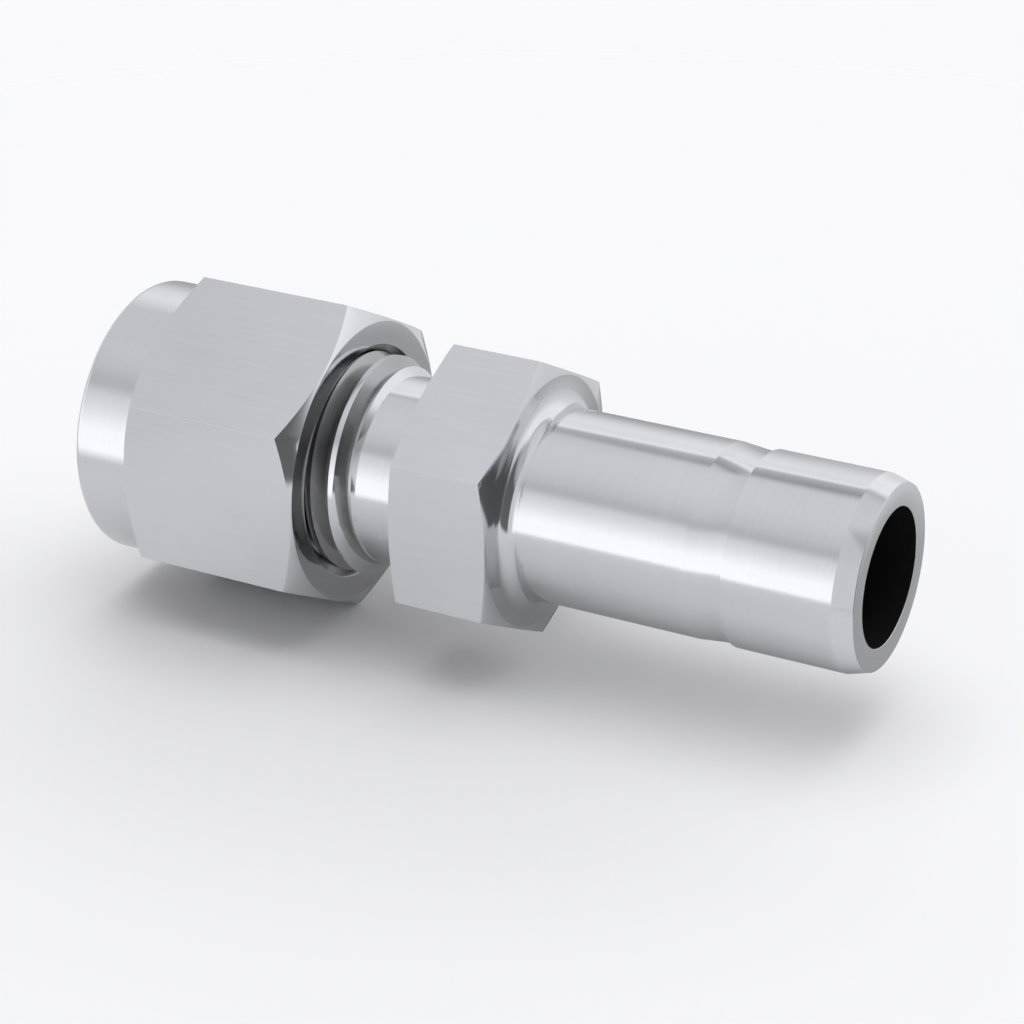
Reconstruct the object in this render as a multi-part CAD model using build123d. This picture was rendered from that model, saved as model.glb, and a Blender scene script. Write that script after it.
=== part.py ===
from build123d import *
import os
from math import cos, radians, tan

# Tube reducer with two ferrules: a socket for a thin tube on the left, a stub of thicker tube on the right.
# Millimetres. The flow axis lies along X. A flat of the nut's hexagon faces down and touches Z = 0.

# Tube and ferrule bores
tube_diameter = 6.35
tube_clearance = 0.025
nut_hole_clearance = 0.1
seat_gap = 0.03

# Nut, sizes along X counted from its outer end
nut_wall = 1.59375
nut_length = 12.7
nut_collar_drop = 0.19375
nut_collar_length = 3.0
nut_collar_round = 0.35
nut_chamfer_angle = 30.0
nut_face_drop = 0.09375
nut_hole_length = 2.4
nut_hole_edge = 0.3
nut_shoulder_angle = 45.0
nut_pocket_clearance = 0.15
nut_mouth_depth = 0.35
thread_run_out = 0.35

# Back ferrule
back_ferrule_length = 2.25
back_ferrule_drop = 0.1
back_ferrule_rear_share = 0.22
back_ferrule_nose_share = 0.27

# Front ferrule
front_ferrule_length = 3.55
front_ferrule_wall = 1.0
front_ferrule_nose_share = 0.22
recess_share = 0.55
recess_angle = 45.0

# Body, socket end
seat_angle = 20.0
seat_mouth_clearance = 0.05
socket_length = 9.34
thread_step = 1.15
thread_clearance = 0.05
thread_length = 8.1
thread_start_chamfer = 0.6
neck_depth = 0.8
neck_length = 2.75

# Body, hexagon
body_hex_rise = 1.5875
body_hex_width = 5.24
body_chamfer_angle = 15.0
body_face_drop = 0.14

# Body, stub end
flow_bore = 4.8
shoulder_fillet = 0.76
stub_diameter = 9.525
stub_length = 17.7
stub_wall = 1.4125
stub_bore_length = 19.0
stub_bore_cone_angle = 59.0
stub_chamfer_length = 1.0
stub_chamfer_angle = 15.5
relief_start = 8.4
relief_length = 1.66
relief_step = 0.3
relief_depth = 0.18

# Radii and places that follow from the sizes above
ferrule_bore_radius = tube_diameter / 2 + tube_clearance
front_radius = ferrule_bore_radius + front_ferrule_wall
front_nose_radius = ferrule_bore_radius + front_ferrule_wall * front_ferrule_nose_share
recess_radius = ferrule_bore_radius + front_ferrule_wall * recess_share
back_radius = front_radius - back_ferrule_drop
back_rear_radius = ferrule_bore_radius + front_ferrule_wall * back_ferrule_rear_share
back_nose_radius = ferrule_bore_radius + front_ferrule_wall * back_ferrule_nose_share
seat_mouth_radius = front_radius + seat_mouth_clearance

nut_hole_radius = tube_diameter / 2 + nut_hole_clearance
nut_pocket_radius = front_radius + nut_pocket_clearance
thread_radius = nut_pocket_radius + thread_step
nut_thread_radius = thread_radius + thread_clearance
nut_flat = nut_thread_radius + nut_wall
nut_collar_radius = nut_flat - nut_collar_drop
nut_face_radius = nut_flat - nut_face_drop
nut_mouth_radius = nut_thread_radius + nut_mouth_depth
neck_radius = thread_radius - neck_depth
stub_radius = stub_diameter / 2
stub_bore_radius = stub_radius - stub_wall
body_flat = stub_radius + body_hex_rise
body_face_radius = body_flat - body_face_drop

back_rear = nut_hole_length + (back_rear_radius - nut_hole_radius + seat_gap) / tan(radians(nut_shoulder_angle))
back_nose = back_rear + back_ferrule_length
front_rear = back_nose - (recess_radius - back_nose_radius - seat_gap) / tan(radians(recess_angle))
front_nose = front_rear + front_ferrule_length
seat_rise = seat_mouth_radius - front_nose_radius - seat_gap
body_start = front_nose - seat_rise / tan(radians(seat_angle))

thread_end = body_start + thread_length
neck_start = thread_end + neck_depth
hex_start = neck_start + neck_length
hex_end = hex_start + body_hex_width
stub_end = hex_end + stub_length
socket_end = body_start + socket_length
beyond = 1.0


def turned(points):
    """The solid swept about X by the area between the axis and the given (x, radius) points."""
    closing = [(points[-1][0], 0), (points[0][0], 0)]
    return revolve(make_face(Polyline(*points, *closing, close=True)), Axis.X)


def hexagon_bar(flat, start, end):
    """A hexagon prism along X with two flats level, each flat this far from the axis."""
    section = Plane.YZ.offset(start) * RegularPolygon(flat, 6, major_radius=False)
    return extrude(section, end - start)


def circles_at(shape, x, radius):
    """The round edges of the shape with this radius in the plane at x."""
    def wanted(edge):
        return abs(edge.radius - radius) < 1e-3 and abs(edge.arc_center.X - x) < 1e-3
    return [edge for edge in shape.edges().filter_by(GeomType.CIRCLE) if wanted(edge)]


def corner_radius(flat):
    """The distance from the axis to a corner of the hexagon with flats this far from the axis."""
    return flat / cos(radians(30))


def chamfer_run(radius, face_radius, angle):
    """How far along X a face chamfer has run when it reaches the radius."""
    return (radius - face_radius) * tan(radians(angle))


def make_nut():
    corner = corner_radius(nut_flat) + beyond
    left_run = chamfer_run(corner, nut_collar_radius, nut_chamfer_angle)
    right_run = chamfer_run(corner, nut_face_radius, nut_chamfer_angle)
    hexagon = turned([
        (nut_collar_length, nut_collar_radius),
        (nut_collar_length + left_run, corner),
        (nut_length - right_run, corner),
        (nut_length, nut_face_radius),
    ])
    hexagon &= hexagon_bar(nut_flat, nut_collar_length, nut_length)
    outside = hexagon + turned([(0, nut_collar_radius), (nut_collar_length, nut_collar_radius)])
    outside = fillet(circles_at(outside, 0, nut_collar_radius), nut_collar_round)

    shoulder_run = (nut_pocket_radius - nut_hole_radius) / tan(radians(nut_shoulder_angle))
    thread_from = body_start - thread_run_out
    inside = turned([
        (-beyond, nut_hole_radius + nut_hole_edge + beyond),
        (nut_hole_edge, nut_hole_radius),
        (nut_hole_length, nut_hole_radius),
        (nut_hole_length + shoulder_run, nut_pocket_radius),
        (thread_from, nut_pocket_radius),
        (thread_from, nut_thread_radius),
        (nut_length - nut_mouth_depth, nut_thread_radius),
        (nut_length + beyond, nut_mouth_radius + beyond),
    ])
    return outside - inside


def make_back_ferrule():
    rear_run = (back_radius - back_rear_radius) / tan(radians(nut_shoulder_angle))
    nose_run = (back_radius - back_nose_radius) / tan(radians(recess_angle))
    ring = turned([
        (back_rear, back_rear_radius),
        (back_rear + rear_run, back_radius),
        (back_nose - nose_run, back_radius),
        (back_nose, back_nose_radius),
    ])
    hole = turned([(back_rear - beyond, ferrule_bore_radius), (back_nose + beyond, ferrule_bore_radius)])
    return ring - hole


def make_front_ferrule():
    nose_run = (front_radius - front_nose_radius) / tan(radians(seat_angle))
    ring = turned([
        (front_rear, front_radius),
        (front_nose - nose_run, front_radius),
        (front_nose, front_nose_radius),
    ])
    slope = tan(radians(recess_angle))
    hole = turned([
        (front_rear - beyond, recess_radius + beyond * slope),
        (front_rear + (recess_radius - ferrule_bore_radius) / slope, ferrule_bore_radius),
        (front_nose + beyond, ferrule_bore_radius),
    ])
    return ring - hole


def make_body_bar():
    """Thread, neck, hexagon and stub of the body before the bores."""
    corner = corner_radius(body_flat) + beyond
    run = chamfer_run(corner, body_face_radius, body_chamfer_angle)
    hexagon = turned([
        (hex_start, body_face_radius),
        (hex_start + run, corner),
        (hex_end - run, corner),
        (hex_end, body_face_radius),
    ])
    hexagon &= hexagon_bar(body_flat, hex_start, hex_end)
    thread = turned([
        (body_start, thread_radius - thread_start_chamfer),
        (body_start + thread_start_chamfer, thread_radius),
        (thread_end, thread_radius),
        (neck_start, neck_radius),
        (hex_start, neck_radius),
    ])
    relief_from = stub_end - relief_start
    relief_bottom = relief_from + relief_length
    stub = turned([
        (hex_end, stub_radius),
        (relief_from, stub_radius),
        (relief_bottom, stub_radius - relief_depth),
        (relief_bottom + relief_step, stub_radius),
        (stub_end - stub_chamfer_length, stub_radius),
        (stub_end, stub_radius - stub_chamfer_length * tan(radians(stub_chamfer_angle))),
    ])
    bar = thread + hexagon + stub
    return fillet(circles_at(bar, hex_end, stub_radius), shoulder_fillet)


def make_body():
    slope = tan(radians(seat_angle))
    seat_run = (seat_mouth_radius - ferrule_bore_radius) / slope
    cone_run = (stub_bore_radius - flow_bore / 2) / tan(radians(stub_bore_cone_angle))
    bore_from = stub_end - stub_bore_length
    inside = turned([
        (body_start - beyond, seat_mouth_radius + beyond * slope),
        (body_start + seat_run, ferrule_bore_radius),
        (socket_end, ferrule_bore_radius),
        (socket_end, flow_bore / 2),
        (bore_from - cone_run, flow_bore / 2),
        (bore_from, stub_bore_radius),
        (stub_end + beyond, stub_bore_radius),
    ])
    return make_body_bar() - inside


def placed(shape):
    """Half the length to each side of X = 0, the nut's lower flat at Z = 0."""
    return Pos(-stub_end / 2, 0, nut_flat) * shape


os.makedirs("parts", exist_ok=True)
export_step(placed(make_body()), "parts/body.step")
export_step(placed(make_nut()), "parts/nut.step")
export_step(placed(make_front_ferrule()), "parts/front_ferrule.step")
export_step(placed(make_back_ferrule()), "parts/back_ferrule.step")
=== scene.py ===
"""Tube reducer with two ferrules: nut, ferrules, threaded body with a hexagon and a stub of thicker tube.

The flow axis lies along X at the height of half the nut's width across flats.
Angles round the axis are counted from -Y towards +Z. Sizes are metres.
"""
from math import ceil, cos, pi, radians, sin, tan

import bpy
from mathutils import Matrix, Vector


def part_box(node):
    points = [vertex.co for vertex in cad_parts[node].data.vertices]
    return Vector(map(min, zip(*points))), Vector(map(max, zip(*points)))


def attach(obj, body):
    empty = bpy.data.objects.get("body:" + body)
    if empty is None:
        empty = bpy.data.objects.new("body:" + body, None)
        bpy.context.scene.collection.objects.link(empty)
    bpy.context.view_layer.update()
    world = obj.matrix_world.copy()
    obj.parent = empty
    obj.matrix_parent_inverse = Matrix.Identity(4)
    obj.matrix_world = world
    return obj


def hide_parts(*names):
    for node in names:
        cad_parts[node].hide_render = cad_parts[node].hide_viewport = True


bl_info = {
    "name": "Tube Reducer",
    "version": (1, 0, 0),
    "blender": (4, 5, 0),
    "location": "3D View > Sidebar > Reducer",
    "description": "Builds a tube reducer with a loose nut, two ferrules, a threaded body and a stub",
    "category": "Object",
}

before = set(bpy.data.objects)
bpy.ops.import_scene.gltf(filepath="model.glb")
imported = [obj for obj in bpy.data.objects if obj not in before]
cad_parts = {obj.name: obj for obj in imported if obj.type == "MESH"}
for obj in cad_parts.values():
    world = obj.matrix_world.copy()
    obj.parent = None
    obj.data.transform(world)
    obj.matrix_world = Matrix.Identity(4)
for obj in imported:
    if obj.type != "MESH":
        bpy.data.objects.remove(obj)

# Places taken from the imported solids
NUT_LOW, NUT_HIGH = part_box("nut")
BODY_LOW, BODY_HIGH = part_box("body")
FRONT_LOW, FRONT_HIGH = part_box("front_ferrule")
BACK_LOW, BACK_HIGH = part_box("back_ferrule")
NUT_FLAT = (NUT_HIGH.z - NUT_LOW.z) / 2
AXIS_HEIGHT = NUT_LOW.z + NUT_FLAT
BODY_FLAT = (BODY_HIGH.z - BODY_LOW.z) / 2
NUT_START, NUT_END = NUT_LOW.x, NUT_HIGH.x
BODY_START, BODY_END = BODY_LOW.x, BODY_HIGH.x

MM = 0.001
SEGMENTS = 144
MERGE = 1e-6
RING_REACH = 5 * MERGE
ARC_STEP = radians(15)
SMOOTH_ANGLE = radians(30)
MILLED_EDGE = radians(50)
BEYOND_CORNER = 1.03
THREAD_TURNS = 9


def length(label, text, millimetres):
    """A size that a user can set, shown as a distance."""
    return bpy.props.FloatProperty(
        name=label, description=text, default=millimetres * MM, unit="LENGTH", subtype="DISTANCE", precision=5,
    )


def angle(label, text, degrees):
    """An angle that a user can set."""
    return bpy.props.FloatProperty(
        name=label, description=text, default=radians(degrees), unit="ROTATION", subtype="ANGLE",
    )


def share(label, text, value):
    """A number from 0 to 1 that a user can set."""
    return bpy.props.FloatProperty(
        name=label, description=text, default=value, min=0.0, max=1.0, subtype="FACTOR",
    )


def colour(label, text, value):
    """A colour that a user can set."""
    return bpy.props.FloatVectorProperty(
        name=label, description=text, default=value, size=3, min=0.0, max=1.0, subtype="COLOR",
    )


class ThreadSizes(bpy.types.PropertyGroup):
    """The right-hand thread that the nut turns on."""
    pitch: length("Pitch", "Distance along the axis from one crest to the next", 1.27)
    crest_radius: length("Crest radius", "Radius of the body's thread at its crests", 5.5)
    root_radius: length("Root radius", "Radius of the body's thread at the bottom of the groove", 4.78)
    crest_width: length("Crest width", "Width of the flat top of the ridge", 0.29)
    flank_angle: angle("Flank angle", "Angle between a flank and the radial direction", 30)
    crest_place: length("Crest place", "X of a crest where it faces -Y", -6.42)
    play: length("Play", "Gap along the axis between the nut's thread and the body's", 0.07)
    nut_crest_radius: length("Nut crest radius", "Smallest radius of the nut's thread", 4.87)
    nut_root_radius: length("Nut root radius", "Largest radius of the nut's thread", 5.55)


class NutSizes(bpy.types.PropertyGroup):
    """The loose nut, lengths along the axis counted from its outer end."""
    collar_radius: length("Collar radius", "Radius of the round collar at the outer end", 6.95)
    collar_length: length("Collar length", "Length of the round collar", 3.0)
    collar_round: length("Collar rounding", "Radius of the collar's outer edge", 0.35)
    chamfer_angle: angle("Chamfer angle", "Slope of the chamfers on the hexagon's corners", 30)
    face_radius: length("Face radius", "Radius of the flat face inside the chamfer", 7.05)
    hole_radius: length("Hole radius", "Radius of the hole for the tube", 3.275)
    hole_length: length("Hole length", "Length of the hole for the tube", 2.4)
    hole_edge: length("Hole edge", "Size of the chamfer at the hole's outer end", 0.3)
    pocket_radius: length("Pocket radius", "Radius of the pocket round the ferrules", 4.35)
    thread_start: length("Thread start", "Where the pocket opens into the thread", 5.577)
    undercut_length: length("Undercut length", "Length of the undercut before the thread", 1.0)
    mouth_radius: length("Mouth radius", "Radius of the opening in the inner face", 5.9)


class BodySizes(bpy.types.PropertyGroup):
    """The body, lengths along the axis counted from its socket end or from its stub end."""
    seat_radius: length("Seat radius", "Radius of the coned seat at its mouth", 4.3)
    seat_angle: angle("Seat angle", "Slope of the coned seat", 20)
    socket_radius: length("Socket radius", "Radius of the socket for the tube", 3.2)
    socket_length: length("Socket length", "Depth of the socket for the tube", 9.34)
    thread_chamfer: length("Thread chamfer", "Size of the chamfer at the thread's start", 0.6)
    thread_length: length("Thread length", "Length from the socket end to the thread's end cone", 8.1)
    neck_radius: length("Neck radius", "Radius of the neck beside the hexagon", 4.7)
    neck_length: length("Neck length", "Length of the neck beside the hexagon", 2.75)
    hexagon_width: length("Hexagon width", "Length of the hexagon along the axis", 5.24)
    chamfer_angle: angle("Chamfer angle", "Slope of the chamfers on the hexagon's corners", 15)
    face_radius: length("Face radius", "Radius of the flat faces inside the chamfers", 6.21)
    fillet: length("Fillet", "Radius of the hollow between the hexagon and the stub", 0.76)
    stub_radius: length("Stub radius", "Radius of the stub", 4.7625)
    flow_radius: length("Flow radius", "Radius of the through hole", 2.4)
    stub_bore_radius: length("Stub bore radius", "Radius of the hole in the stub", 3.35)
    stub_bore_length: length("Stub bore length", "Depth of the hole in the stub", 19.0)
    stub_bore_angle: angle("Stub bore angle", "Slope of the cone at the bottom of the stub's hole", 59)
    stub_chamfer_length: length("Stub chamfer length", "Length of the chamfer at the stub's end", 1.0)
    stub_chamfer_angle: angle("Stub chamfer angle", "Slope of the chamfer at the stub's end", 15.5)
    relief_start: length("Relief start", "Where the shallow waist begins, counted from the stub's end", 8.4)
    relief_length: length("Relief length", "Length of the waist's slope", 1.91)
    relief_step: length("Relief step", "Length of the steep shoulder back to full size", 0.05)
    relief_depth: length("Relief depth", "Depth of the waist", 0.2)


class FerruleSizes(bpy.types.PropertyGroup):
    """The two ferrules."""
    bore_radius: length("Bore radius", "Radius of both holes", 3.2)
    front_radius: length("Front radius", "Outer radius of the front ferrule", 4.2)
    front_nose_radius: length("Front nose radius", "Outer radius at the front ferrule's thin end", 3.42)
    recess_radius: length("Recess radius", "Radius of the hollow at the front ferrule's thick end", 3.75)
    recess_angle: angle("Recess angle", "Slope of that hollow", 45)
    seat_angle: angle("Seat angle", "Slope of the front ferrule's outside", 20)
    back_radius: length("Back radius", "Outer radius of the back ferrule", 4.1)
    back_rear_radius: length("Back rear radius", "Outer radius at the back ferrule's outer end", 3.42)
    back_nose_radius: length("Back nose radius", "Outer radius at the back ferrule's nose", 3.47)


class FinishValues(bpy.types.PropertyGroup):
    """Edge roundings and colours of the finished metal, with the painted shade of the bore and of the thread
    grooves.
    """
    edge_round: length("Edge rounding", "Radius of the broken edges", 0.05)
    hexagon_edge_round: length("Hexagon edge rounding", "Width of the broken edges of the hexagons", 0.01)
    steel: colour("Steel", "Colour of the machined steel", (0.62, 0.625, 0.64))
    # Painted shade: darker colour for the faces in the thread grooves
    groove_shade_colour: colour("Thread steel", "Colour of the steel between the threads", (0.4, 0.4, 0.405))
    # Painted shade: near-black colour that stands in for the shade deep in the bore
    dark: colour("Bore", "Colour of the dark bore", (0.012, 0.012, 0.012))
    roughness: share("Roughness", "Roughness of the machined steel", 0.09)
    thread_roughness: share("Thread roughness", "Roughness of the threads", 0.22)
    dark_roughness: share("Bore roughness", "Roughness of the dark bore", 0.85)
    floor: colour("Floor", "Colour of the floor", (0.9, 0.9, 0.93))


class ReducerSettings(bpy.types.PropertyGroup):
    """All sizes and colours of the reducer."""
    thread: bpy.props.PointerProperty(type=ThreadSizes)
    nut: bpy.props.PointerProperty(type=NutSizes)
    body: bpy.props.PointerProperty(type=BodySizes)
    ferrules: bpy.props.PointerProperty(type=FerruleSizes)
    finish: bpy.props.PointerProperty(type=FinishValues)


# Picking and modifying

def deselect_all():
    """Clears the selection of objects."""
    for thing in bpy.context.selected_objects:
        thing.select_set(False)


def pick(piece):
    """Makes the piece the only selected and the active object."""
    deselect_all()
    piece.select_set(True)
    bpy.context.view_layer.objects.active = piece


def modify(piece, kind, **settings):
    """Adds a modifier with these settings and applies it."""
    pick(piece)
    bpy.ops.object.modifier_add(type=kind)
    modifier = piece.modifiers[-1]
    for name, value in settings.items():
        setattr(modifier, name, value)
    bpy.ops.object.modifier_apply(modifier=modifier.name)


def select_in_mesh(piece, wanted):
    """Selects the vertices that the test picks and the edges between them, in object mode."""
    mesh = piece.data
    for face in mesh.polygons:
        face.select = False
    for vertex in mesh.vertices:
        vertex.select = wanted(vertex.co)
    for edge in mesh.edges:
        edge.select = all(mesh.vertices[number].select for number in edge.vertices)


# Turning, milling and threading

def rounded(corners):
    """The outline through (x, radius, rounding) corners, each rounding as a short arc."""
    outline = []
    for number, (x, radius, rounding) in enumerate(corners):
        here = Vector((x, radius))
        if rounding == 0:
            outline.append(here)
            continue
        before = Vector(corners[number - 1][:2]) - here
        after = Vector(corners[(number + 1) % len(corners)][:2]) - here
        before.normalize()
        after.normalize()
        half = before.angle(after) / 2
        centre = here + (before + after).normalized() * (rounding / sin(half))
        first = here + before * (rounding / tan(half)) - centre
        last = here + after * (rounding / tan(half)) - centre
        turn = first.angle(last)
        steps = max(2, ceil(turn / ARC_STEP))
        for step in range(steps + 1):
            a, b = sin(turn * (1 - step / steps)), sin(turn * step / steps)
            outline.append(centre + (first * a + last * b) / sin(turn))
    return outline


def turn_piece(name, corners):
    """A ring round the X axis: a circle extruded and resized along the outline and back to its start."""
    outline = rounded(corners)
    deselect_all()
    x, radius = outline[0]
    bpy.ops.mesh.primitive_circle_add(
        vertices=SEGMENTS, radius=radius, location=(x, 0, 0), rotation=(0, pi / 2, 0),
    )
    piece = bpy.context.object
    piece.name = name
    bpy.ops.object.mode_set(mode="EDIT")
    bpy.ops.mesh.select_all(action="SELECT")
    for next_x, next_radius in outline[1:] + outline[:1]:
        bpy.ops.mesh.extrude_region_move(TRANSFORM_OT_translate={"value": (next_x - x, 0, 0)})
        size = next_radius / radius
        bpy.ops.transform.resize(value=(1, size, size), center_override=(next_x, 0, 0))
        x, radius = next_x, next_radius
    bpy.ops.mesh.select_all(action="SELECT")
    bpy.ops.mesh.remove_doubles(threshold=MERGE)
    bpy.ops.mesh.normals_make_consistent(inside=False)
    bpy.ops.object.mode_set(mode="OBJECT")
    pick(piece)
    bpy.ops.object.transform_apply(location=True, rotation=True, scale=True)
    return piece


def bar_corner(flat):
    """A radius just beyond the corners of the hexagon with flats this far from the axis."""
    return flat / cos(radians(30)) * BEYOND_CORNER


def mill_flats(piece, flat, edge):
    """Cuts the six flats and breaks their edges."""
    pick(piece)
    bpy.ops.object.mode_set(mode="EDIT")
    for side in range(6):
        a = radians(30 + 60 * side)
        normal = Vector((0, -cos(a), sin(a)))
        bpy.ops.mesh.select_all(action="SELECT")
        bpy.ops.mesh.bisect(
            plane_co=normal * flat, plane_no=normal, use_fill=True, clear_outer=True, threshold=MERGE / 10,
        )
    bpy.ops.object.mode_set(mode="OBJECT")
    modify(piece, "BEVEL", limit_method="ANGLE", angle_limit=MILLED_EDGE, width=edge, segments=2)


def thread_cutter(place, inner, outer, pitch):
    """A closed helical bar. inner and outer are its (radius, half width), place is its X where it faces -Y."""
    depth = abs(outer[0] - inner[0])
    middle = -(outer[0] + inner[0]) / 2
    deselect_all()
    bpy.ops.mesh.primitive_plane_add(size=depth, location=(place, middle, 0))
    cutter = bpy.context.object
    bpy.ops.object.transform_apply(location=True, rotation=True, scale=True)
    for radius, half_width in (inner, outer):
        select_in_mesh(cutter, lambda point: abs(point.y + radius) < MERGE)
        bpy.ops.object.mode_set(mode="EDIT")
        bpy.ops.transform.resize(value=(half_width * 2 / depth, 1, 1), center_override=(place, 0, 0))
        bpy.ops.object.mode_set(mode="OBJECT")
    bpy.ops.object.mode_set(mode="EDIT")
    bpy.ops.mesh.select_all(action="SELECT")
    bpy.ops.mesh.delete(type="ONLY_FACE")
    bpy.ops.mesh.select_all(action="SELECT")
    bpy.ops.transform.rotate(value=pi / SEGMENTS, orient_axis="X", center_override=(0, 0, 0))
    bpy.ops.object.mode_set(mode="OBJECT")
    modify(
        cutter, "SCREW", axis="X", angle=2 * pi, screw_offset=pitch, iterations=THREAD_TURNS,
        steps=SEGMENTS, render_steps=SEGMENTS,
    )
    bpy.ops.object.mode_set(mode="EDIT")
    bpy.ops.mesh.select_all(action="SELECT")
    bpy.ops.mesh.remove_doubles(threshold=MERGE)
    bpy.ops.mesh.select_all(action="DESELECT")
    bpy.ops.mesh.select_non_manifold()
    bpy.ops.mesh.fill_holes(sides=0)
    bpy.ops.mesh.select_all(action="SELECT")
    bpy.ops.mesh.normals_make_consistent(inside=False)
    bpy.ops.object.mode_set(mode="OBJECT")
    return cutter


def cut_thread(piece, cutter):
    """Cuts the helical bar out of the piece and gives the groove's faces a darker colour, painted shade in the
    thread groove.
    """
    for metal in ("turned_steel", "painted_groove_shade"):
        for thing in (piece, cutter):
            thing.data.materials.append(find_material(metal))
    for face in cutter.data.polygons:
        face.material_index = 1
    modify(piece, "BOOLEAN", operation="DIFFERENCE", solver="EXACT", material_mode="INDEX", object=cutter)
    bpy.data.objects.remove(cutter, do_unlink=True)


def sharpen_rings(piece, rings):
    """Marks the round edges at these (x, radius) places as sharp."""
    def on_ring(point):
        radius = point.yz.length
        return any(abs(point.x - x) < RING_REACH and abs(radius - r) < RING_REACH for x, r in rings)

    pick(piece)
    select_in_mesh(piece, on_ring)
    bpy.ops.object.mode_set(mode="EDIT")
    bpy.ops.mesh.mark_sharp()
    bpy.ops.object.mode_set(mode="OBJECT")


def seat_on_axis(piece, body, node, rings=()):
    """Smooths the piece, lifts it to the flow axis and hands it to the frame in place of its solid."""
    pick(piece)
    bpy.ops.object.shade_smooth_by_angle(angle=SMOOTH_ANGLE)
    if rings:
        sharpen_rings(piece, rings)
    modify(piece, "WEIGHTED_NORMAL", keep_sharp=True)
    bpy.ops.transform.translate(value=(0, 0, AXIS_HEIGHT))
    bpy.ops.object.transform_apply(location=True, rotation=True, scale=True)
    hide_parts(node)
    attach(piece, body)


# Shader nodes

def math_node(tree, operation, *values):
    """A Math node whose inputs are numbers or the outputs of other nodes."""
    node = tree.nodes.new("ShaderNodeMath")
    node.operation = operation
    for socket, value in zip(node.inputs, values):
        if isinstance(value, (int, float)):
            socket.default_value = value
        else:
            tree.links.new(value, socket)
    return node.outputs[0]


def map_range(tree, value, start, end, first, last, smooth=True):
    """A change from first to last while the value goes from start to end."""
    node = tree.nodes.new("ShaderNodeMapRange")
    node.interpolation_type = "SMOOTHSTEP" if smooth else "LINEAR"
    for socket, number in zip(node.inputs[1:5], (start, end, first, last)):
        socket.default_value = number
    tree.links.new(value, node.inputs["Value"])
    return node.outputs["Result"]


def scaled_colour(tree, colour, scale):
    """The colour times a number that another node gives."""
    node = tree.nodes.new("ShaderNodeVectorMath")
    node.operation = "SCALE"
    node.inputs[0].default_value = colour
    tree.links.new(scale, node.inputs["Scale"])
    return node.outputs["Vector"]


def choose(tree, test, no, yes):
    """One of two shaders by a test from 0 to 1."""
    mix = tree.nodes.new("ShaderNodeMixShader")
    for socket, value in zip(mix.inputs, (test, no, yes)):
        tree.links.new(value, socket)
    return mix.outputs["Shader"]


def split_axes(tree, vector):
    """The X, Y and Z of a vector."""
    split = tree.nodes.new("ShaderNodeSeparateXYZ")
    tree.links.new(vector, split.inputs[0])
    return split.outputs


def straight_place(tree):
    """The place on the object itself, for marks that run straight."""
    return tree.nodes.new("ShaderNodeTexCoord").outputs["Object"]


def ring_place(tree):
    """Distance along the flow axis and distance from it, for marks that run round the piece."""
    x, y, z = split_axes(tree, straight_place(tree))
    height = math_node(tree, "SUBTRACT", z, AXIS_HEIGHT)
    squares = math_node(tree, "MULTIPLY_ADD", y, y, math_node(tree, "MULTIPLY", height, height))
    join = tree.nodes.new("ShaderNodeCombineXYZ")
    tree.links.new(x, join.inputs["X"])
    tree.links.new(math_node(tree, "SQRT", squares), join.inputs["Y"])
    return join.outputs["Vector"]


def noise(tree, place, per_metre, detail):
    """Irregular marks, with so many waves to the metre in each direction."""
    stretch = tree.nodes.new("ShaderNodeMapping")
    stretch.inputs["Scale"].default_value = per_metre
    tree.links.new(place, stretch.inputs["Vector"])
    pattern = tree.nodes.new("ShaderNodeTexNoise")
    pattern.inputs["Scale"].default_value = 1.0
    pattern.inputs["Detail"].default_value = detail
    tree.links.new(stretch.outputs["Vector"], pattern.inputs["Vector"])
    return pattern.outputs["Fac"]


def from_noise(tree, value, low, high):
    """Turns the middle of a noise's range into low to high."""
    return map_range(tree, value, 0.3, 0.7, low, high, smooth=False)


# Materials

CLOUDS_PER_METRE = (170, 170, 170)
CLOUD_TONE, MARK_TONE = 0.02, 0.012
ROUGHNESS_SWING = 0.015


def new_material(name, **sockets):
    """A material with a Principled shader whose sockets are set."""
    material = bpy.data.materials.new(name)
    material.use_nodes = True
    shader = material.node_tree.nodes["Principled BSDF"]
    for socket, value in sockets.items():
        shader.inputs[socket.replace("_", " ")].default_value = value
    return material, material.node_tree, shader


def metal(name, colour, roughness, place_of, lines, depth, **sockets):
    """A surface whose colour, roughness and bump vary with fine tool marks and with broad faint clouds."""
    material, tree, shader = new_material(name, **sockets)
    marks = noise(tree, place_of(tree), lines, 3.0)
    clouds = noise(tree, straight_place(tree), CLOUDS_PER_METRE, 2.0)
    tone = math_node(
        tree, "ADD", from_noise(tree, marks, -MARK_TONE, MARK_TONE),
        from_noise(tree, clouds, 1 - CLOUD_TONE, 1 + CLOUD_TONE),
    )
    tree.links.new(scaled_colour(tree, colour, tone), shader.inputs["Base Color"])
    spread = math_node(
        tree, "ADD", from_noise(tree, marks, -ROUGHNESS_SWING, ROUGHNESS_SWING),
        from_noise(tree, clouds, roughness - ROUGHNESS_SWING, roughness + ROUGHNESS_SWING),
    )
    tree.links.new(spread, shader.inputs["Roughness"])
    bump = tree.nodes.new("ShaderNodeBump")
    bump.inputs["Strength"].default_value = 1.0
    bump.inputs["Distance"].default_value = depth
    tree.links.new(marks, bump.inputs["Height"])
    tree.links.new(bump.outputs["Normal"], shader.inputs["Normal"])
    return material


def turned_steel(values):
    """Bright steel with fine rings from the lathe tool."""
    return metal(
        "turned_steel", values.steel, values.roughness, ring_place, (5200, 5200, 1), 0.0002 * MM, Metallic=1.0,
    )


def milled_steel(values):
    """Bright steel with faint lines along the flats."""
    return metal(
        "milled_steel", values.steel, values.roughness, straight_place, (250, 4200, 4200), 0.0001 * MM,
        Metallic=1.0,
    )


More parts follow.
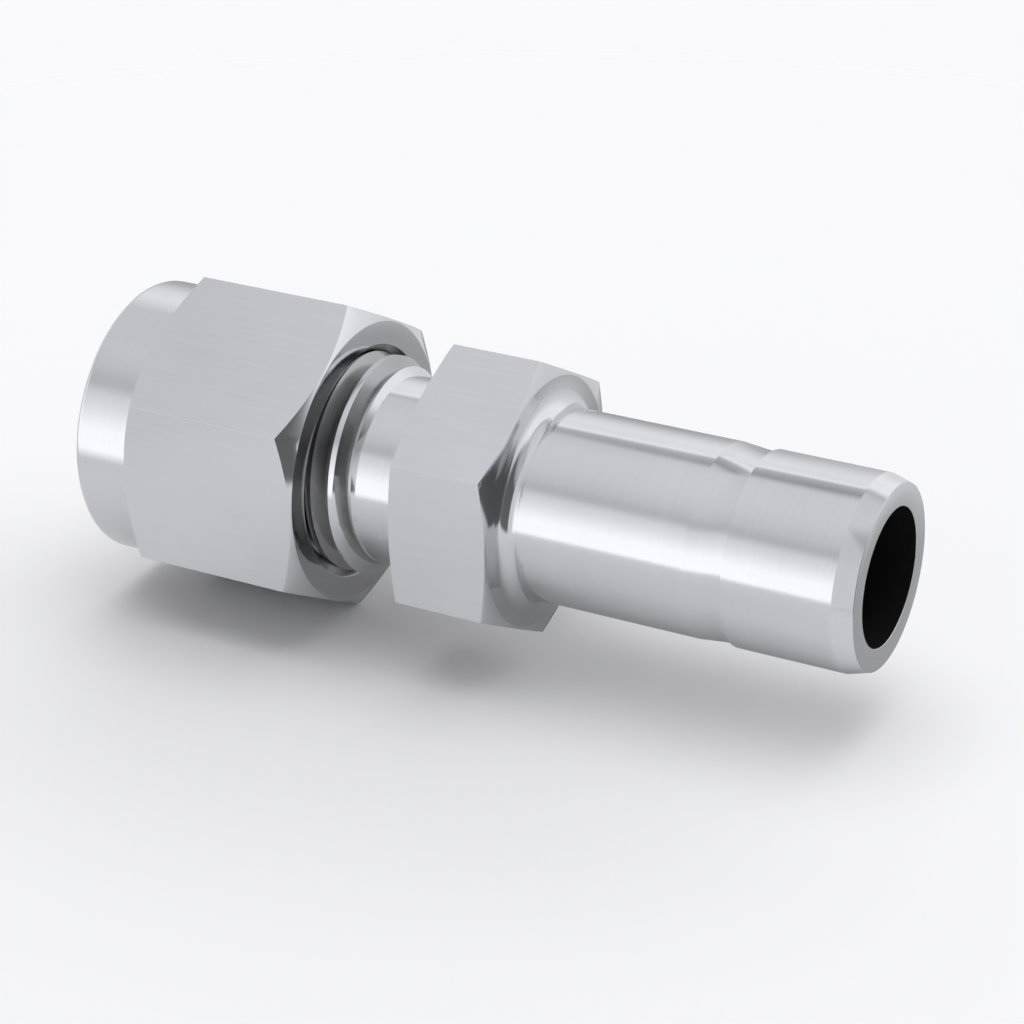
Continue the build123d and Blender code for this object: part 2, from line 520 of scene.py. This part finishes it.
def painted_groove_shade(values):
    """Steel of the thread grooves, with finer rings and a rougher finish, darkened with painted shade."""
    return metal(
        "painted_groove_shade", values.groove_shade_colour, values.thread_roughness, ring_place, (7000, 7000, 1),
        0.0002 * MM, Metallic=1.0,
    )


def bore_painted_shade(values):
    """Painted shade on the steel deep in the bore: near-black and without shine."""
    return metal(
        "bore_painted_shade", values.dark, values.dark_roughness, ring_place, (3000, 3000, 1), 0.002 * MM,
        Metallic=0.0, Specular_IOR_Level=0.0,
    )


METALS = {maker.__name__: maker for maker in (turned_steel, milled_steel, painted_groove_shade, bore_painted_shade)}


def find_material(name):
    """The metal of this name, made when it is first asked for."""
    return bpy.data.materials.get(name) or METALS[name](bpy.context.scene.tube_reducer.finish)


def on_flat(face, flat):
    """Whether the face lies on a flat of the hexagon with flats this far from the axis."""
    distance = face.normal.yz.dot(face.center.yz)
    return abs(face.normal.x) < 0.01 and abs(distance - flat) < 0.01 * MM


def dress(piece, metal_name, wanted):
    """Gives the metal to the faces that the test picks by the face and its distance from the axis."""
    if metal_name not in piece.data.materials:
        piece.data.materials.append(find_material(metal_name))
    slot = piece.data.materials.find(metal_name)
    for face in piece.data.polygons:
        if wanted(face, face.center.yz.length):
            face.material_index = slot


# Pieces

class REDUCER_OT_body(bpy.types.Operator):
    """Build the body: coned seat, thread, neck, hexagon and stub"""
    bl_idname = "reducer.body"
    bl_label = "Body"
    bl_options = {"REGISTER", "UNDO"}

    def execute(self, context):
        size = context.scene.tube_reducer.body
        thread = context.scene.tube_reducer.thread
        finish = context.scene.tube_reducer.finish
        edge = finish.edge_round
        crest = thread.crest_radius
        corner = bar_corner(BODY_FLAT)
        run = (corner - size.face_radius) * tan(size.chamfer_angle)
        thread_end = BODY_START + size.thread_length
        neck_start = thread_end + crest - size.neck_radius
        hexagon_start = neck_start + size.neck_length
        hexagon_end = hexagon_start + size.hexagon_width
        relief = BODY_END - size.relief_start
        waist = relief + size.relief_length
        waist_radius = size.stub_radius - size.relief_depth
        end_radius = size.stub_radius - size.stub_chamfer_length * tan(size.stub_chamfer_angle)
        bore_start = BODY_END - size.stub_bore_length
        cone_start = bore_start - (size.stub_bore_radius - size.flow_radius) / tan(size.stub_bore_angle)
        socket_end = BODY_START + size.socket_length
        seat_end = BODY_START + (size.seat_radius - size.socket_radius) / tan(size.seat_angle)
        piece = turn_piece("reducer_body", [
            (BODY_START, size.seat_radius, edge),
            (BODY_START, crest - size.thread_chamfer, edge),
            (BODY_START + size.thread_chamfer, crest, 0),
            (thread_end, crest, 0),
            (neck_start, size.neck_radius, 0),
            (hexagon_start, size.neck_radius, edge),
            (hexagon_start, size.face_radius, 0),
            (hexagon_start + run, corner, 0),
            (hexagon_end - run, corner, 0),
            (hexagon_end, size.face_radius, 0),
            (hexagon_end, size.stub_radius, size.fillet),
            (relief, size.stub_radius, 0),
            (waist, waist_radius, 0),
            (waist + size.relief_step, size.stub_radius, 0),
            (BODY_END - size.stub_chamfer_length, size.stub_radius, 0),
            (BODY_END, end_radius, edge),
            (BODY_END, size.stub_bore_radius, edge),
            (bore_start, size.stub_bore_radius, 0),
            (cone_start, size.flow_radius, 0),
            (socket_end, size.flow_radius, edge),
            (socket_end, size.socket_radius, 0),
            (seat_end, size.socket_radius, 0),
        ])
        mill_flats(piece, BODY_FLAT, finish.hexagon_edge_round)
        cut_thread(piece, self.groove(thread))
        # Painted shade: the stub's bore and the flow hole get a near-black colour in place of the shade inside
        # them
        shaded_bore_radius = size.stub_bore_radius + 0.01 * MM
        shaded_bore_start = socket_end - 0.1 * MM
        dress(piece, "bore_painted_shade", lambda face, radius: radius < shaded_bore_radius and face.center.x > shaded_bore_start)
        dress(piece, "milled_steel", lambda face, radius: on_flat(face, BODY_FLAT))
        seat_on_axis(piece, "body", "body", (
            (hexagon_start, size.face_radius), (hexagon_end, size.face_radius), (relief, size.stub_radius),
            (BODY_END - size.stub_chamfer_length, size.stub_radius),
        ))
        return {"FINISHED"}

    @staticmethod
    def groove(thread):
        """The groove between the ridges, half a pitch from a crest and a little beyond the crests."""
        depth = thread.crest_radius - thread.root_radius
        slope = tan(thread.flank_angle)
        half_width = (thread.pitch - thread.crest_width) / 2
        over = 0.1 * MM
        place = thread.crest_place - 7.5 * thread.pitch
        inner = (thread.root_radius, half_width - depth * slope)
        outer = (thread.crest_radius + over, half_width + over * slope)
        return thread_cutter(place, inner, outer, thread.pitch)


class REDUCER_OT_nut(bpy.types.Operator):
    """Build the loose nut: collar, hexagon, tube hole, ferrule pocket and thread"""
    bl_idname = "reducer.nut"
    bl_label = "Nut"
    bl_options = {"REGISTER", "UNDO"}

    def execute(self, context):
        size = context.scene.tube_reducer.nut
        thread = context.scene.tube_reducer.thread
        finish = context.scene.tube_reducer.finish
        edge = finish.edge_round
        corner = bar_corner(NUT_FLAT)
        left_run = (corner - size.collar_radius) * tan(size.chamfer_angle)
        right_run = (corner - size.face_radius) * tan(size.chamfer_angle)
        hexagon_start = NUT_START + size.collar_length
        hole_end = NUT_START + size.hole_length
        thread_start = NUT_START + size.thread_start
        undercut_end = thread_start + size.undercut_length
        bevel = thread.nut_root_radius - thread.nut_crest_radius
        piece = turn_piece("union_nut", [
            (NUT_START, size.hole_radius + size.hole_edge, edge),
            (NUT_START, size.collar_radius, size.collar_round),
            (hexagon_start, size.collar_radius, 0),
            (hexagon_start + left_run, corner, 0),
            (NUT_END - right_run, corner, 0),
            (NUT_END, size.face_radius, 0),
            (NUT_END, size.mouth_radius, edge),
            (NUT_END - size.mouth_radius + thread.nut_crest_radius, thread.nut_crest_radius, 0),
            (undercut_end, thread.nut_crest_radius, 0),
            (undercut_end - bevel, thread.nut_root_radius, 0),
            (thread_start, thread.nut_root_radius, 0),
            (thread_start, size.pocket_radius, 0),
            (hole_end + size.pocket_radius - size.hole_radius, size.pocket_radius, 0),
            (hole_end, size.hole_radius, 0),
            (NUT_START + size.hole_edge, size.hole_radius, edge),
        ])
        mill_flats(piece, NUT_FLAT, finish.hexagon_edge_round)
        cut_thread(piece, self.groove(thread))
        mouth = size.mouth_radius - edge
        # Painted shade: the nut's thread and undercut get the darker groove colour
        dress(piece, "painted_groove_shade", lambda face, radius: radius < mouth and face.center.x > thread_start)
        dress(piece, "milled_steel", lambda face, radius: on_flat(face, NUT_FLAT))
        seat_on_axis(piece, "nut", "nut", ((NUT_END, size.face_radius),))
        return {"FINISHED"}

    @staticmethod
    def groove(thread):
        """The groove round the body's ridge, with the play at both flanks."""
        slope = tan(thread.flank_angle)
        half_width = thread.crest_width / 2 + thread.play
        over = 0.04 * MM
        place = thread.crest_place - 8 * thread.pitch
        mouth_radius = thread.nut_crest_radius - over
        inner = (thread.nut_root_radius, half_width + (thread.crest_radius - thread.nut_root_radius) * slope)
        outer = (mouth_radius, half_width + (thread.crest_radius - mouth_radius) * slope)
        return thread_cutter(place, inner, outer, thread.pitch)


class REDUCER_OT_ferrules(bpy.types.Operator):
    """Build the two ferrules"""
    bl_idname = "reducer.ferrules"
    bl_label = "Ferrules"
    bl_options = {"REGISTER", "UNDO"}

    def execute(self, context):
        size = context.scene.tube_reducer.ferrules
        slight, small, large = 0.03 * MM, 0.05 * MM, 0.12 * MM
        slope_start = FRONT_HIGH.x - (size.front_radius - size.front_nose_radius) / tan(size.seat_angle)
        recess_end = FRONT_LOW.x + (size.recess_radius - size.bore_radius) / tan(size.recess_angle)
        front = turn_piece("front_ring", [
            (FRONT_LOW.x, size.recess_radius, slight),
            (FRONT_LOW.x, size.front_radius, large),
            (slope_start, size.front_radius, small),
            (FRONT_HIGH.x, size.front_nose_radius, small),
            (FRONT_HIGH.x, size.bore_radius, 0),
            (recess_end, size.bore_radius, 0),
        ])
        back = turn_piece("back_ring", [
            (BACK_LOW.x, size.bore_radius, 0),
            (BACK_LOW.x, size.back_rear_radius, small),
            (BACK_LOW.x + size.back_radius - size.back_rear_radius, size.back_radius, small),
            (BACK_HIGH.x - size.back_radius + size.back_nose_radius, size.back_radius, small),
            (BACK_HIGH.x, size.back_nose_radius, small),
            (BACK_HIGH.x, size.bore_radius, 0),
        ])
        for piece, node in ((front, "front_ferrule"), (back, "back_ferrule")):
            dress(piece, "turned_steel", lambda face, radius: True)
            seat_on_axis(piece, "ferrules", node)
        return {"FINISHED"}


# Stage

# Directions: UP stands on the floor, AWAY runs level from the camera, RIGHT runs level to its right
UP = Vector((0, -0.47953, 0.87752))
AWAY = Vector((-0.46717, 0.77588, 0.42398))
RIGHT = AWAY.cross(UP)

CAMERA_PLACE = (0.06275924, -0.13349747, 0.00632769)
CAMERA_TURN = (1.57029123, -0.2223518, 0.43415393)
CAMERA_LENS = 106.469277

# The floor: its radius, where it fades out, and where it fades out for metal that reflects it
FLOOR_RADIUS = 0.125
FLOOR_FADE = (0.055, 0.12)
FLOOR_FADE_IN_METAL = (0.03, 0.042)
FLOOR_GAP = 0.02 * MM

# Painted shade on the floor behind the object, seen only in the metal: how much darker, and over what distance
# that comes in
BEHIND_SHADE = 0.5
BEHIND_REACH = 0.004

# Reflected surroundings: elevation in degrees and half the brightness
OPEN_ROOM = ((-90, 0.25), (-35, 0.30), (-15, 0.45), (20, 0.45), (45, 0.42), (58, 0.42), (66, 0.46), (90, 0.47))
LEFT_SOFTBOX = (
    (-90, 0.35), (-40, 0.38), (-18, 0.44), (-11, 0.78), (4, 0.76), (11, 0.68), (19, 0.58), (28, 0.49),
    (35, 0.355), (39, 0.355), (46, 0.405), (56, 0.44), (66, 0.46), (90, 0.47),
)
RIGHT_SHADE = (
    (-90, 0.24), (-30, 0.27), (-21, 0.09), (27, 0.075), (34, 0.23), (46, 0.32), (60, 0.31), (72, 0.44),
    (90, 0.45),
)
BACK_SOFTBOX = (
    (-90, 0.12), (-38, 0.2), (-24, 0.38), (-10, 0.42), (5, 0.47), (16, 0.55), (26, 0.61), (36, 0.60),
    (47, 0.62), (55, 0.34), (64, 0.42), (90, 0.45),
)
BACK_WALL = (
    (-90, 0.12), (-30, 0.18), (-8, 0.22), (2, 0.27), (11, 0.38), (20, 0.49), (30, 0.56), (40, 0.55), (45, 0.62),
    (48, 0.34), (57, 0.23), (63, 0.40), (72, 0.46), (90, 0.47),
)
STOPS_STRENGTH = 2.0
ROOM_TINT = (0.99, 0.995, 1.03, 1)

# Azimuths in degrees grow to the right, seen from above, and start this far left of the camera's side
AZIMUTH_START = radians(120)

# Surroundings by azimuth: stops, start, end, softness of the start and of the end
GLOSS_PANELS = (
    (LEFT_SOFTBOX, 15, 90, 8, 9),
    (RIGHT_SHADE, 121, 190, 3, 14),
    (BACK_SOFTBOX, 195, 290, 12, 6),
    (BACK_WALL, 290, 317, 6, 6),
)

# Light on matt surfaces: azimuths, softness, elevations between which a panel fades out, level
MATT_PANELS = (
    (192, 316, 13, 28, 46, 1.62),
    (15, 78, 13, 24, 44, 0.36),
)
MATT_TOP = (52, 72, 1.92)
MATT_BASE = 0.41

# What the camera sees round the object, and the light that metal throws on to the floor
PALE_ROOM = (0.956, 0.953, 0.99, 1)
THROWN_LIGHT = (0.15, 0.15, 0.15, 1)


def levels(tree, elevation, stops):
    """Brightness by elevation."""
    ramp = tree.nodes.new("ShaderNodeValToRGB")
    points = ramp.color_ramp.elements
    while len(points) < len(stops):
        points.new(0.5)
    for point, (degrees, level) in zip(points, stops):
        point.position = (degrees + 90) / 180
        point.color = (level, level, level, 1)
    tree.links.new(math_node(tree, "MULTIPLY_ADD", elevation, 1 / pi, 0.5), ramp.inputs["Fac"])
    return ramp.outputs["Color"]


def sector(tree, azimuth, start, end, soft_start, soft_end):
    """1 between two azimuths in degrees and 0 elsewhere, with soft borders."""
    rise = map_range(tree, azimuth, radians(start - soft_start), radians(start + soft_start), 0, 1)
    fall = map_range(tree, azimuth, radians(end - soft_end), radians(end + soft_end), 1, 0)
    return math_node(tree, "MULTIPLY", rise, fall)


def background(tree, light, strength=1.0):
    """Light of a set colour, or of the colour that another node gives."""
    node = tree.nodes.new("ShaderNodeBackground")
    node.inputs["Strength"].default_value = strength
    if isinstance(light, tuple):
        node.inputs["Color"].default_value = light
    else:
        tree.links.new(light, node.inputs["Color"])
    return node.outputs["Background"]


def gloss_light(tree, azimuth, elevation):
    """The room that polished metal shows: soft panels to the left and behind, a shaded side to the right."""
    light = levels(tree, elevation, OPEN_ROOM)
    for stops, *borders in GLOSS_PANELS:
        mix = tree.nodes.new("ShaderNodeMix")
        mix.data_type = "RGBA"
        tree.links.new(sector(tree, azimuth, *borders), mix.inputs["Factor"])
        tree.links.new(light, mix.inputs["A"])
        tree.links.new(levels(tree, elevation, stops), mix.inputs["B"])
        light = mix.outputs["Result"]
    tint = tree.nodes.new("ShaderNodeMix")
    tint.data_type = "RGBA"
    tint.blend_type = "MULTIPLY"
    tint.inputs["Factor"].default_value = 1.0
    tint.inputs["B"].default_value = ROOM_TINT
    tree.links.new(light, tint.inputs["A"])
    return background(tree, tint.outputs["Result"], STOPS_STRENGTH)


def matt_light(tree, azimuth, elevation):
    """Soft light from overhead and from panels near the floor."""
    low, high, level = MATT_TOP
    light = map_range(tree, elevation, radians(low), radians(high), 0, level)
    light = math_node(tree, "ADD", light, MATT_BASE)
    for start, end, soft, low, high, level in MATT_PANELS:
        height = map_range(tree, elevation, radians(low), radians(high), level, 0)
        panel = math_node(tree, "MULTIPLY", sector(tree, azimuth, start, end, soft, soft), height)
        light = math_node(tree, "ADD", light, panel)
    return background(tree, light)


def stage_angles(tree):
    """Azimuth and elevation of a direction of the world, in radians."""
    direction = tree.nodes.new("ShaderNodeTexCoord").outputs["Generated"]
    parts = []
    for axis in (RIGHT, AWAY, UP):
        dot = tree.nodes.new("ShaderNodeVectorMath")
        dot.operation = "DOT_PRODUCT"
        dot.inputs[1].default_value = axis
        tree.links.new(direction, dot.inputs[0])
        parts.append(dot.outputs["Value"])
    right, away, up = parts
    azimuth = math_node(tree, "ARCTAN2", right, math_node(tree, "MULTIPLY", away, -1))
    azimuth = math_node(tree, "MODULO", math_node(tree, "ADD", azimuth, 2 * pi + AZIMUTH_START), 2 * pi)
    return azimuth, math_node(tree, "ARCSINE", up)


def world_light():
    """Pale surroundings for the camera, and soft panels of light round the object."""
    world = bpy.data.worlds.get("World") or bpy.data.worlds.new("World")
    bpy.context.scene.world = world
    world.use_nodes = True
    tree = world.node_tree
    tree.nodes.clear()
    azimuth, elevation = stage_angles(tree)
    path = tree.nodes.new("ShaderNodeLightPath").outputs
    light = matt_light(tree, azimuth, elevation)
    light = choose(tree, path["Is Glossy Ray"], light, gloss_light(tree, azimuth, elevation))
    thrown = math_node(tree, "MINIMUM", path["Diffuse Depth"], path["Is Glossy Ray"])
    light = choose(tree, thrown, light, background(tree, THROWN_LIGHT))
    seen = math_node(tree, "MAXIMUM", path["Is Camera Ray"], path["Is Transmission Ray"])
    light = choose(tree, seen, light, background(tree, PALE_ROOM))
    out = tree.nodes.new("ShaderNodeOutputWorld")
    tree.links.new(light, out.inputs["Surface"])
    world.cycles.sampling_method = "MANUAL"
    world.cycles.sample_map_resolution = 1024


def floor_material():
    """A pale floor seen from above only, which fades away past its middle; in the metal's reflections its part
    behind the object is darkened with painted shade.
    """
    colour = bpy.context.scene.tube_reducer.finish.floor
    material, tree, shader = new_material("pale_floor", Roughness=1.0, Specular_IOR_Level=0.0)
    place = straight_place(tree)
    path = tree.nodes.new("ShaderNodeLightPath").outputs
    backfacing = tree.nodes.new("ShaderNodeNewGeometry").outputs["Backfacing"]
    # Painted shade: the floor behind the object is darker where the metal reflects it
    behind = map_range(tree, split_axes(tree, place)["Y"], -BEHIND_REACH, BEHIND_REACH, 0, BEHIND_SHADE)
    shade = math_node(tree, "MULTIPLY", behind, path["Is Glossy Ray"])
    tone = math_node(tree, "SUBTRACT", 1.0, shade)
    tree.links.new(scaled_colour(tree, colour, tone), shader.inputs["Base Color"])
    distance = tree.nodes.new("ShaderNodeVectorMath")
    distance.operation = "LENGTH"
    tree.links.new(place, distance.inputs[0])
    distance = distance.outputs["Value"]
    in_metal = map_range(tree, distance, *FLOOR_FADE_IN_METAL, 0, 1)
    in_metal = math_node(tree, "MULTIPLY", in_metal, path["Is Glossy Ray"])
    gone = math_node(tree, "MAXIMUM", map_range(tree, distance, *FLOOR_FADE, 0, 1), backfacing)
    gone = math_node(tree, "MAXIMUM", gone, in_metal)
    clear = tree.nodes.new("ShaderNodeBsdfTransparent")
    surface = choose(tree, gone, shader.outputs["BSDF"], clear.outputs["BSDF"])
    tree.links.new(surface, tree.nodes["Material Output"].inputs["Surface"])
    return material


class REDUCER_OT_stage(bpy.types.Operator):
    """Set up the floor, the light and the camera"""
    bl_idname = "reducer.stage"
    bl_label = "Stage"
    bl_options = {"REGISTER", "UNDO"}

    def execute(self, context):
        drop = NUT_FLAT / cos(radians(30)) + FLOOR_GAP
        deselect_all()
        bpy.ops.mesh.primitive_circle_add(
            vertices=96, radius=FLOOR_RADIUS, fill_type="NGON",
            location=Vector((0, 0, AXIS_HEIGHT)) - UP * drop, rotation=UP.to_track_quat("Z", "Y").to_euler(),
        )
        floor = context.object
        floor.name = "floor"
        floor.data.materials.append(floor_material())
        world_light()
        deselect_all()
        bpy.ops.object.camera_add(location=CAMERA_PLACE, rotation=CAMERA_TURN)
        camera = context.object
        camera.data.lens = CAMERA_LENS
        camera.data.sensor_width = 36
        camera.data.clip_start = 0.01
        camera.data.clip_end = 10
        context.scene.camera = camera
        context.scene.view_settings.view_transform = "Standard"
        return {"FINISHED"}


class VIEW3D_PT_tube_reducer(bpy.types.Panel):
    """Buttons and sizes of the reducer"""
    bl_label = "Tube Reducer"
    bl_space_type = "VIEW_3D"
    bl_region_type = "UI"
    bl_category = "Reducer"

    def draw(self, context):
        layout = self.layout
        for operator in OPERATORS:
            layout.operator(operator.bl_idname)
        settings = context.scene.tube_reducer
        for group in (settings.body, settings.thread, settings.nut, settings.ferrules, settings.finish):
            box = layout.box()
            for name in group.bl_rna.properties.keys():
                if name not in ("rna_type", "name"):
                    box.prop(group, name)


OPERATORS = (REDUCER_OT_body, REDUCER_OT_nut, REDUCER_OT_ferrules, REDUCER_OT_stage)
CLASSES = (
    ThreadSizes, NutSizes, BodySizes, FerruleSizes, FinishValues, ReducerSettings,
    *OPERATORS, VIEW3D_PT_tube_reducer,
)


def register():
    for item in CLASSES:
        bpy.utils.register_class(item)
    bpy.types.Scene.tube_reducer = bpy.props.PointerProperty(type=ReducerSettings)


def unregister():
    del bpy.types.Scene.tube_reducer
    for item in reversed(CLASSES):
        bpy.utils.unregister_class(item)


def main():
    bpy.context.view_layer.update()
    register()
    bpy.ops.reducer.body()
    bpy.ops.reducer.nut()
    bpy.ops.reducer.ferrules()
    bpy.ops.reducer.stage()


if __name__ == "__main__":
    main()
